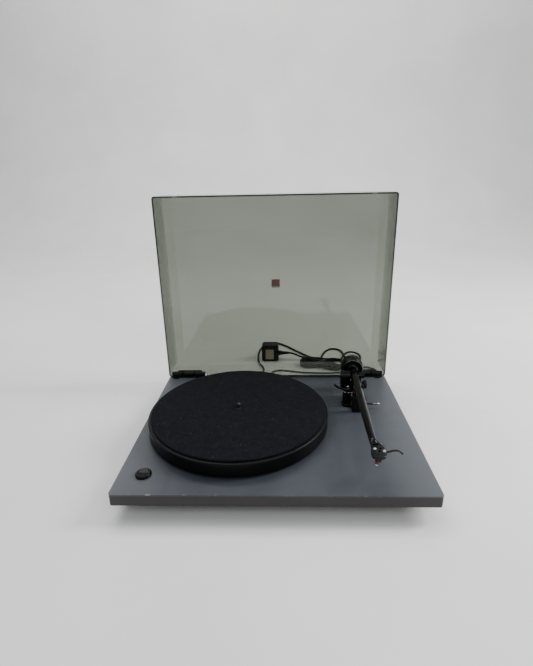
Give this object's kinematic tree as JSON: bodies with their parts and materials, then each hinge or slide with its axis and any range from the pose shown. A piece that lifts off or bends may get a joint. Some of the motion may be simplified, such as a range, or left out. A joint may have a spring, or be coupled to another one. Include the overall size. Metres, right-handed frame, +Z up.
{
  "type": "turntable record player",
  "caption": "Belt-drive record player on a slim board plinth, with a spinning platter and felt mat, a gimballed tonearm with cueing lift, a hinged clear lid and its leads.",
  "frame": {"origin": "on the table under the middle of the player, leads left out", "axes": "+X to the right seen from the front, +Y to the rear, +Z up"},
  "size_m": [0.4581, 0.647, 0.4061],
  "materials": {
    "plinth_paint": "satin blue-grey paint on fibreboard",
    "rubber": "matte",
    "clear_pad": "clear soft pad",
    "steel": "plain turned steel",
    "brass": "turned",
    "board": "solder-masked board",
    "black_plastic": "fine moulded texture",
    "black_screws": "blackened",
    "cable": "smooth sheath",
    "platter_paint": "black paint on a turned casting",
    "felt": "pressed felt",
    "lid_acrylic": "smoked clear acrylic",
    "badge": "plain dark red plate",
    "arm_black": "satin black anodised",
    "weight_black": "satin black steel",
    "red_rubber": "soft pad",
    "red_plastic": "translucent dark red",
    "plug_metal": "plated"
  },
  "bodies": {
    "deck": {"plinth_board": "plinth_paint", "foot_front_left": "rubber", "foot_front_right": "rubber", "foot_rear": "rubber", "foot_screws": "steel", "main_bearing": "brass", "bearing_ball": "steel", "lock_nuts": "steel", "motor_body": "steel", "motor_bracket": "steel", "circuit_board": "board", "dc_jack": "black_plastic", "motor_cover": "black_plastic", "underside_screws": "steel", "switch_body": "black_plastic", "switch_bezel": "black_plastic", "switch_cable": "cable", "hinge_base_left": "black_plastic", "hinge_base_right": "black_plastic", "hinge_pins": "steel", "hinge_screws": "black_screws", "arm_base": "black_plastic", "arm_pillar": "black_plastic", "arm_bearings": "steel", "lift_housing": "black_plastic", "rest_pad": "red_rubber", "bias_post": "black_plastic", "signal_cable": "cable", "cable_clamp": "black_plastic", "drive_belt": "rubber", "power_lead": "cable", "power_lead_hank": "cable", "dc_plug": "black_plastic", "power_adaptor": "black_plastic", "phono_lead": "cable", "phono_lead_coil": "cable", "phono_plugs": "plug_metal"},
    "platter": {"sub_platter": "black_plastic", "spindle_shaft": "steel", "platter": "platter_paint", "felt_mat": "felt"},
    "motor_rotor": {"motor_shaft": "steel", "drive_pulley": "brass"},
    "lid": {"lid_shell": "lid_acrylic", "lid_hinge_left": "black_plastic", "lid_hinge_right": "black_plastic", "lid_badge": "badge", "lid_bumpers": "clear_pad"},
    "arm_bearing_yoke": {"arm_yoke": "arm_black", "pivot_screws": "steel"},
    "tonearm": {"arm_tube": "arm_black", "headshell": "arm_black", "cartridge_body": "black_plastic", "stylus_assembly": "red_plastic", "cartridge_screws": "steel"},
    "counterweight": {"counterweight": "weight_black"},
    "lift_arm": {"lift_platform": "black_plastic"},
    "cue_arm": {"cue_lever": "steel"},
    "rocker": {"rocker_button": "black_plastic"},
    "bias_knob": {"bias_dial": "black_plastic"}
  },
  "joints": [
    {"name": "lid_hinge", "type": "hinge", "parent": "deck", "child": "lid", "pos_m": [0, 0.14141, 0.051], "axis": [1, 0, 0], "range_deg": [0, 91]},
    {"name": "platter_spin", "type": "hinge", "parent": "deck", "child": "platter", "pos_m": [-0.062, -0.03209, 0.043], "axis": [0, 0, 1], "continuous": true},
    {"name": "motor_spin", "type": "hinge", "parent": "deck", "child": "motor_rotor", "pos_m": [-0.13625, 0.04215, 0.043], "axis": [0, 0, 1], "continuous": true},
    {"name": "arm_swing", "type": "hinge", "parent": "deck", "child": "arm_bearing_yoke", "pos_m": [0.1445, 0.0494, 0.043], "axis": [0, 0, -1], "range_deg": [0, 54]},
    {"name": "arm_tilt", "type": "hinge", "parent": "arm_bearing_yoke", "child": "tonearm", "pos_m": [0.1445, 0.0494, 0.09], "axis": [-0.9995, 0.0314, 0], "range_deg": [0, 4]},
    {"name": "counterweight_slide", "type": "slide", "parent": "tonearm", "child": "counterweight", "axis": [0.0314, 0.9995, 0], "range_m": [-0.003, 0.01]},
    {"name": "lift_raise", "type": "slide", "parent": "deck", "child": "lift_arm", "axis": [0, 0, 1], "range_m": [0, 0.0047]},
    {"name": "cue_turn", "type": "hinge", "parent": "deck", "child": "cue_arm", "pos_m": [0.157, 0.03001, 0.052], "axis": [-1, 0, 0], "range_deg": [0, 72]},
    {"name": "rocker_tilt", "type": "hinge", "parent": "deck", "child": "rocker", "pos_m": [-0.1865, -0.17199, 0.045], "axis": [1, 0, 0], "range_deg": [0, 14]},
    {"name": "bias_turn", "type": "hinge", "parent": "deck", "child": "bias_knob", "pos_m": [0.164, 0.0434, 0.075], "axis": [1, 0, 0], "range_deg": [0, 270]}
  ],
  "couplings": [
    {"joint": "motor_spin", "follows": "platter_spin", "ratio": 11.25},
    {"joint": "cue_turn", "follows": "arm_tilt", "ratio": 18},
    {"joint": "lift_raise", "follows": "arm_tilt", "m_per_rad": 0.067323}
  ]
}
